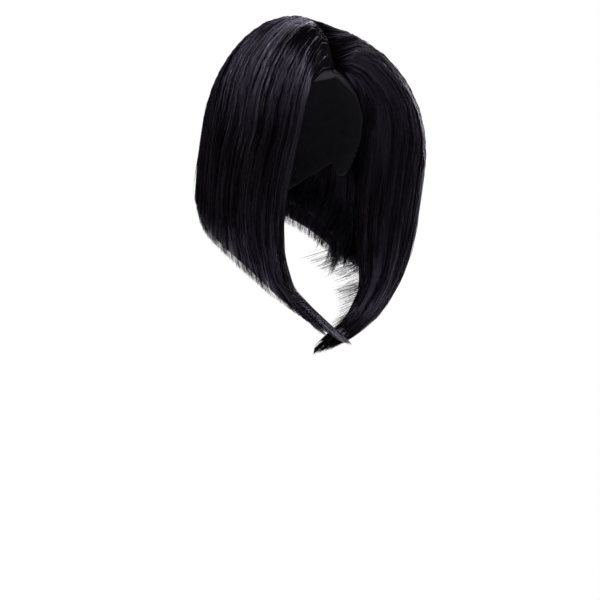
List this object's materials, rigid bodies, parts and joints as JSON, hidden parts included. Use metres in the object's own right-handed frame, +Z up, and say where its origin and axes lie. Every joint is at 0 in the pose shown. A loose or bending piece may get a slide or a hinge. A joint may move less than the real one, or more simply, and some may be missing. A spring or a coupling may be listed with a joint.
{
  "type": "bob wig",
  "caption": "Straight black wig with a centre parting, an angled bob cut short at the nape and long in front, on a fitted net cap.",
  "frame": {"origin": "top of the cap's hollow, where the wig sits on the crown of the head", "axes": "+Z up, the face looks towards -Y, the wearer's left is +X"},
  "size_m": [0.2308, 0.2378, 0.3374],
  "materials": {
    "hair": "glossy straight synthetic fibre, black with a soft violet-grey sheen",
    "under_hair": "straight synthetic fibre of the under layer, black, less light on it",
    "cap_net": "black stretch net with sewn rows",
    "scalp_strip": "matte woven parting strip, grey"
  },
  "bodies": {
    "root": {"cap": "cap_net", "parting_strip": "scalp_strip", "face_lock_left": "hair", "cheek_lock_left": "hair", "temple_lock_left": "hair", "side_lock_left": "hair", "back_lock_left": "hair", "crown_lock_left": "hair", "under_ear_lock_left": "under_hair", "under_back_lock_left": "under_hair", "under_nape_lock_left": "under_hair", "face_lock_right": "hair", "cheek_lock_right": "hair", "temple_lock_right": "hair", "side_lock_right": "hair", "back_lock_right": "hair", "crown_lock_right": "hair", "under_ear_lock_right": "under_hair", "under_back_lock_right": "under_hair", "under_nape_lock_right": "under_hair"}
  },
  "joints": []
}
